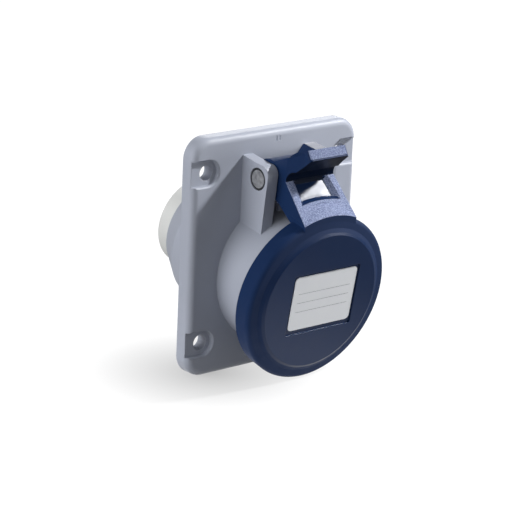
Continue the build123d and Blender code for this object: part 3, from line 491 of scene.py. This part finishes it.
# %% [markdown]
# ## Blue lid: the grip
# The neck's face, its flare round the cap and the thumb bar's face are eroded to a grain, so
# that a thumb holds; its pale colour and sparkling specks are painted sheen and glints that
# stand in for light scattered by the grain. The side walls of the pocket have it too, so where a
# face is turned sideways the test reaches deeper behind the neck's face. Real grain could be
# modelled in the mesh, but thousands of pits would weigh more than the whole socket.

# %% Lid grip
FACE_DEPTH = 0.25
FULLY_TURNED = 0.93
NECK_FACE_TOP = 28.5
POCKET_WALL_DEPTH = 1.35
POCKET_WALL_SLANT = (0.4, 0.85)
CAP_RADIUS = 30.45
BAR_GRIP_FOOT = 37.9
BAR_GRIP_RIGHT_END = 7.9


def neck_grip(tree, place, height):
    """1 on the neck's face, its flare round the cap and the side walls of its thumb pocket."""
    face_x, face_y, face_z = facing(tree)
    slant = calculated(tree, "ABSOLUTE", face_x)
    least, most = POCKET_WALL_SLANT
    side_wall = all_of(tree, above(tree, slant, least), below(tree, slant, most))
    depth = spread(tree, side_wall, -FACE_DEPTH, -POCKET_WALL_DEPTH, 0, 1)
    return all_of(
        tree,
        above(tree, neck_distance(tree, place), depth),
        above(tree, cap_distance(tree, place), CAP_RADIUS),
        below(tree, height, NECK_FACE_TOP),
        below(tree, face_z, FULLY_TURNED),
        above(tree, face_y, -FULLY_TURNED),
    )


def bar_grip(tree, place, height, sideways):
    """1 on the thumb bar's face, short of its smooth foot and right end."""
    away = plane_distance(tree, place, BAR_FACE_POINT, BAR_FACE_NORMAL)
    return all_of(
        tree,
        near_zero(tree, away, FACE_DEPTH),
        above(tree, height, BAR_GRIP_FOOT),
        below(tree, sideways, BAR_GRIP_RIGHT_END),
    )


print("neck grip up to", NECK_FACE_TOP, "mm and bar grip from", BAR_GRIP_FOOT, "mm")

# %% [markdown]
# ## Blue lid: smooth, satin and dull faces
# The pocket's floor and the tops of the wing and its rib are smoother than the cap, and mirror
# a lamp each. The bevel and the shoulder round the cap are satin, so no glare runs along them.
# The hollow under the thumb bar is dull, and its near black is painted shade. It could be
# darkened with a lamp that misses it, but it would light up when the lid swings, so shade is
# painted into its colour instead.

# %% Lid smooth, satin and dull faces
TURNED_UP = 0.8
POCKET_FLOOR_UP = 0.6
POCKET_FLOOR_DEPTH = 2.5
POCKET_FLOOR_RADIUS = 34.6
BEVEL_INNER_RADIUS = 25.3
SHOULDER_RADIUS = 31.2
HOLLOW_TOP = 37.4
HOLLOW_FOOT = 20
HOLLOW_FRONT_Y = -16
HOLLOW_SLANT = 0.6
UNDERSIDE = -0.2


def pocket_floor(tree, place, height):
    """1 on the floor of the thumb pocket, outside the foot next to the cap."""
    away = neck_distance(tree, place)
    _, _, face_z = facing(tree)
    return all_of(
        tree,
        below(tree, away, -POCKET_WALL_DEPTH),
        above(tree, away, -POCKET_FLOOR_DEPTH),
        below(tree, face_z, TURNED_UP),
        above(tree, face_z, POCKET_FLOOR_UP),
        below(tree, height, NECK_FACE_TOP),
        above(tree, cap_distance(tree, place), POCKET_FLOOR_RADIUS),
    )


def wing_tops(tree, height):
    """1 on the tops of the wing and its rib."""
    _, _, face_z = facing(tree)
    return all_of(tree, above(tree, face_z, TURNED_UP), above(tree, height, NECK_FACE_TOP))


def satin_ring(tree, place):
    """1 on the bevel and the shoulder round the cap."""
    from_axis = cap_distance(tree, place)
    return all_of(
        tree, above(tree, from_axis, BEVEL_INNER_RADIUS), below(tree, from_axis, SHOULDER_RADIUS)
    )


def under_bar(tree, forward, height):
    """1 on the faces of the hollow under the thumb bar, but not on the neck's side walls."""
    face_x, face_y, face_z = facing(tree)
    between = all_of(tree, above(tree, height, NECK_FACE_TOP), below(tree, height, HOLLOW_TOP))
    turned_away = calculated(
        tree, "MAXIMUM", below(tree, face_z, UNDERSIDE), below(tree, face_y, -FULLY_TURNED)
    )
    lower = all_of(tree, turned_away, above(tree, height, HOLLOW_FOOT))
    return all_of(
        tree,
        calculated(tree, "MAXIMUM", between, lower),
        below(tree, face_z, TURNED_UP),
        below(tree, forward, HOLLOW_FRONT_Y),
        near_zero(tree, face_x, HOLLOW_SLANT),
    )


def lid_faces(tree, place):
    """A mask for each kind of face that has a finish of its own."""
    sideways, forward, height = split(tree, place)
    bar = bar_grip(tree, place, height, sideways)
    tops = wing_tops(tree, height)
    return {
        "bar": bar,
        "grip": calculated(tree, "MAXIMUM", neck_grip(tree, place, height), bar),
        # The hollow mask brings painted shade to the colour and a lower gloss.
        "hollow": under_bar(tree, forward, height),
        "satin": satin_ring(tree, place),
        "smooth": calculated(tree, "MAXIMUM", pocket_floor(tree, place, height), tops),
        "tops": tops,
    }


print("satin ring from", BEVEL_INNER_RADIUS, "to", SHOULDER_RADIUS, "mm from the cap's axis")

# %% [markdown]
# ## Blue lid: the finish
# The navy is very dark, and what makes it read as plastic is its drift in tone and its gloss.
# Colour, gloss and roughness could each be a plain number, but then all faces would shine alike,
# so each mask shifts them a little. The gloss level also stands on the shader's own socket,
# because an exported model keeps only that.

# %% Blue lid
LID_NAVY = (0.0060, 0.0205, 0.074)
LID_NAVY_PALE = (0.0080, 0.0262, 0.087)
HOLLOW_PAINTED_SHADE = (0.0025, 0.0075, 0.024)
# Painted sheen and glints: the grip's pale colour and bright specks stand for scattered light.
GRIP_PAINTED_SHEEN = (0.13, 0.16, 0.295)
GRIP_PAINTED_GLINT = (0.34, 0.40, 0.59)
SPECK_RANGE = (0.38, 0.66)
BAR_SHARE_OF_NAVY = 0.2
LID_SPECULAR = 0.25
TOPS_SPECULAR = 1.0
HOLLOW_SPECULAR = 0.04
LID_ROUGHNESS = (0.32, 0.40)
SATIN_ROUGHER = 0.3
SMOOTH_FINER = 0.05


def lid_colour(tree, place, faces, speck):
    """Navy that drifts in tone, painted shade in the hollow, painted sheen on the grip."""
    navy = between_colours(tree, noise(tree, place, cell_mm=15), LID_NAVY, LID_NAVY_PALE)
    # Painted shade: the hollow under the bar is darkened to almost black.
    plain = between_colours(tree, faces["hollow"], navy, HOLLOW_PAINTED_SHADE)
    # Painted sheen and glints on the grain of the grip; the bar keeps a share of navy.
    painted_glints = spread(tree, speck, 0, 1, *SPECK_RANGE)
    grip_painted_sheen = between_colours(tree, painted_glints, GRIP_PAINTED_SHEEN, GRIP_PAINTED_GLINT)
    deeper = calculated(tree, "MULTIPLY", faces["bar"], BAR_SHARE_OF_NAVY)
    grained = between_colours(tree, deeper, grip_painted_sheen, navy)
    return between_colours(tree, faces["grip"], plain, grained)


def lid_gloss(tree, faces):
    """The gloss level, higher on the tops and almost nothing in the hollow."""
    open_gloss = spread(tree, faces["tops"], LID_SPECULAR, TOPS_SPECULAR, 0, 1)
    lost = calculated(tree, "MULTIPLY", faces["hollow"], LID_SPECULAR - HOLLOW_SPECULAR)
    return calculated(tree, "SUBTRACT", open_gloss, lost)


def lid_roughness(tree, place, faces):
    """The roughness, more on the grip and the satin ring and less on the smooth faces."""
    cap = spread(tree, noise(tree, place, cell_mm=4), *LID_ROUGHNESS)
    satin = calculated(tree, "MAXIMUM", faces["grip"], faces["satin"])
    more = calculated(tree, "MULTIPLY", satin, SATIN_ROUGHER)
    less = calculated(tree, "MULTIPLY", faces["smooth"], SMOOTH_FINER)
    return calculated(tree, "SUBTRACT", calculated(tree, "ADD", cap, more), less)


def moulded_navy():
    """The whole lid in one finish."""
    material, tree, shader = new_finish("lid_navy")
    place = millimetres(tree)
    faces = lid_faces(tree, place)
    speck = noise(tree, place, cell_mm=0.42, detail=4)
    tree.links.new(lid_colour(tree, place, faces, speck), shader.inputs["Base Color"])
    shader.inputs["Specular IOR Level"].default_value = LID_SPECULAR
    tree.links.new(lid_gloss(tree, faces), shader.inputs["Specular IOR Level"])
    tree.links.new(lid_roughness(tree, place, faces), shader.inputs["Roughness"])
    grain = calculated(tree, "MULTIPLY", speck, faces["grip"])
    edges = soft_edges(tree, radius_mm=0.3)
    tree.links.new(bump(tree, grain, depth_mm=0.25, under=edges), shader.inputs["Normal"])
    return material


dress(moulded_navy(), "lid")

# %% [markdown]
# ## Rubber seals
# The flat seal behind the flange and the ring in the lid are soft black rubber. One dark colour
# would look like a hole in the shadow behind the flange, because real rubber is never quite
# even, so the finish has a dusty bloom in patches and a fine matt grain.

# %% Rubber seals
RUBBER_BLACK = (0.012, 0.012, 0.013)
RUBBER_BLOOM = (0.040, 0.041, 0.043)
RUBBER_ROUGHNESS = (0.62, 0.82)


def soft_rubber():
    """Matt black with a dusty bloom."""
    material, tree, shader = new_finish("soft_rubber")
    place = millimetres(tree)
    bloom = noise(tree, place, cell_mm=6)
    colour = between_colours(tree, bloom, RUBBER_BLACK, RUBBER_BLOOM)
    tree.links.new(colour, shader.inputs["Base Color"])
    grain = noise(tree, place, cell_mm=0.5)
    tree.links.new(spread(tree, grain, *RUBBER_ROUGHNESS), shader.inputs["Roughness"])
    tree.links.new(bump(tree, grain, depth_mm=0.03), shader.inputs["Normal"])
    return material


dress(soft_rubber(), "flange_gasket", "lid_seal")

# %% [markdown]
# ## Contact insert and terminal carrier
# Both blocks are heat-resistant plastic, satin and a little milky: the insert light grey, the
# carrier that shows behind the cup off-white. Each could have a finish of its own, but they
# come from the same kind of mould, so they share one recipe with two pairs of colours.

# %% Insert and carrier
INSERT_GREYS = ((0.36, 0.37, 0.38), (0.42, 0.43, 0.44))
CARRIER_WHITES = ((0.66, 0.67, 0.66), (0.74, 0.75, 0.74))
BLOCK_ROUGHNESS = (0.38, 0.5)


def milky_plastic(name, colours):
    """Satin plastic that drifts between two close colours."""
    material, tree, shader = new_finish(name)
    place = millimetres(tree)
    drift = noise(tree, place, cell_mm=9)
    tree.links.new(between_colours(tree, drift, *colours), shader.inputs["Base Color"])
    grain = noise(tree, place, cell_mm=0.4)
    tree.links.new(spread(tree, grain, *BLOCK_ROUGHNESS), shader.inputs["Roughness"])
    edges = soft_edges(tree, radius_mm=0.25)
    tree.links.new(bump(tree, grain, depth_mm=0.01, under=edges), shader.inputs["Normal"])
    return material


dress(milky_plastic("insert_grey", INSERT_GREYS), "contact_insert")
dress(milky_plastic("carrier_white", CARRIER_WHITES), "terminal_carrier")

# %% [markdown]
# ## Metals
# The contacts are turned brass, the spring and clips are drawn steel, and the screws are plated.
# A perfect mirror would look like glass, because worked metal keeps the marks of its tool. So
# each metal takes its colour from two close tones and its gloss from one noise, which is
# squeezed along X, Y and Z into the marks that its tool leaves.

# %% Metals
EVEN = (1, 1, 1)
ROUND_THE_SLEEVE = (0.4, 2.4, 0.4)
BRASS_TONES = ((0.62, 0.43, 0.17), (0.76, 0.57, 0.27))
DRAWN_TONES = ((0.36, 0.36, 0.37), (0.52, 0.52, 0.54))
PLATED_TONES = ((0.50, 0.50, 0.50), (0.64, 0.64, 0.63))


def worked_metal(name, tones, cell_mm, roughness, squeeze=EVEN, metallic=1.0):
    """Metal whose tone, gloss and fine bumps follow the marks of a tool."""
    material, tree, shader = new_finish(name)
    shader.inputs["Metallic"].default_value = metallic
    squeezed = tree.nodes.new("ShaderNodeVectorMath")
    squeezed.operation = "MULTIPLY"
    squeezed.inputs[1].default_value = squeeze
    tree.links.new(millimetres(tree), squeezed.inputs[0])
    marks = noise(tree, squeezed.outputs[0], cell_mm, detail=5)
    colour = between_colours(tree, spread(tree, marks, 0, 1), *tones)
    tree.links.new(colour, shader.inputs["Base Color"])
    tree.links.new(spread(tree, marks, *roughness), shader.inputs["Roughness"])
    tree.links.new(bump(tree, marks, depth_mm=0.01), shader.inputs["Normal"])
    return material


turned_brass = worked_metal("turned_brass", BRASS_TONES, 0.6, (0.22, 0.36), ROUND_THE_SLEEVE)
drawn_steel = worked_metal("drawn_steel", DRAWN_TONES, 0.5, (0.25, 0.4))
plated_steel = worked_metal("plated_steel", PLATED_TONES, 1.2, (0.2, 0.32))

for pole in ("phase", "neutral", "earth"):
    dress(turned_brass, f"{pole}_contact")
    dress(drawn_steel, f"{pole}_contact_clip")
    dress(plated_steel, f"{pole}_terminal_screw")
dress(drawn_steel, "lid_spring")
dress(plated_steel, "carrier_screw", "insert_screw_left", "insert_screw_right")

# %% [markdown]
# ## Hinge pin
# The pin's head shows in the near ear: dull, mottled, and ringed by a dark chamfer. The chamfer
# is narrower than a pixel of most pictures and would flicker if only its slope made it dark, so
# its shade is painted: the finish darkens the metal beyond a radius from the hinge's axis.

# %% Hinge pin
PIN_TONES = ((0.20, 0.205, 0.22), (0.46, 0.47, 0.50))
PIN_ROUGHNESS = (0.42, 0.6)
PIN_METALLIC = 0.3
PIN_RIM_PAINTED_SHADE = (0.05, 0.052, 0.058)
PIN_RIM_FROM = 3.1
HINGE_AXIS_POINT = (0, -14.2, 28.1)
HINGE_AXIS = (1, 0, 0)


def dull_pin():
    """The pin's metal, with painted shade on the chamfer round its head."""
    material = worked_metal("dull_pin", PIN_TONES, 1.6, PIN_ROUGHNESS, metallic=PIN_METALLIC)
    tree = material.node_tree
    colour = tree.nodes["Principled BSDF"].inputs["Base Color"]
    centre_tone = colour.links[0].from_socket
    across = axis_distance(tree, millimetres(tree), HINGE_AXIS_POINT, HINGE_AXIS)
    # Painted shade: the metal beyond this radius from the hinge's axis is darkened.
    rim = above(tree, across, PIN_RIM_FROM)
    tree.links.new(between_colours(tree, rim, centre_tone, PIN_RIM_PAINTED_SHADE), colour)
    return material


dress(dull_pin(), "hinge_pin")

# %% [markdown]
# ## Rating label
# The label is a thin silver-white film with plain rules on it. The rules could be strips of
# mesh, but ink has no thickness, so they are drawn in the material by the height on the label.
# The film keeps the faint unevenness of the glue under it.

# %% Rating label
FILM_TONES = ((0.90, 0.925, 0.97), (0.95, 0.97, 1.0))
FILM_ROUGHNESS = (0.3, 0.42)
RULE_GREY = (0.24, 0.25, 0.28)
LABEL_MIDDLE = (1.1, -31.4, -12.2)
LABEL_UP = (0, -0.17365, 0.98481)
LABEL_ALONG = (1, 0, 0)
RULE_HEIGHTS = (3.6, 0.2, -3.2)
RULE_HALF_THICKNESS = 0.07
RULE_HALF_LENGTH = 11.6


def rules(tree, place):
    """1 on the plain rules of the label."""
    height = plane_distance(tree, place, LABEL_MIDDLE, LABEL_UP)
    along = plane_distance(tree, place, LABEL_MIDDLE, LABEL_ALONG)
    lines = None
    for rule in RULE_HEIGHTS:
        from_rule = calculated(tree, "SUBTRACT", height, rule)
        line = near_zero(tree, from_rule, RULE_HALF_THICKNESS)
        lines = line if lines is None else calculated(tree, "MAXIMUM", lines, line)
    return all_of(tree, lines, near_zero(tree, along, RULE_HALF_LENGTH))


def label_film():
    """Silver-white film with its rules."""
    material, tree, shader = new_finish("label_film")
    place = millimetres(tree)
    blotch = noise(tree, place, cell_mm=5)
    film = between_colours(tree, blotch, *FILM_TONES)
    colour = between_colours(tree, rules(tree, place), film, RULE_GREY)
    tree.links.new(colour, shader.inputs["Base Color"])
    tree.links.new(spread(tree, blotch, *FILM_ROUGHNESS), shader.inputs["Roughness"])
    tree.links.new(bump(tree, blotch, depth_mm=0.03), shader.inputs["Normal"])
    return material


dress(label_film(), "rating_label")
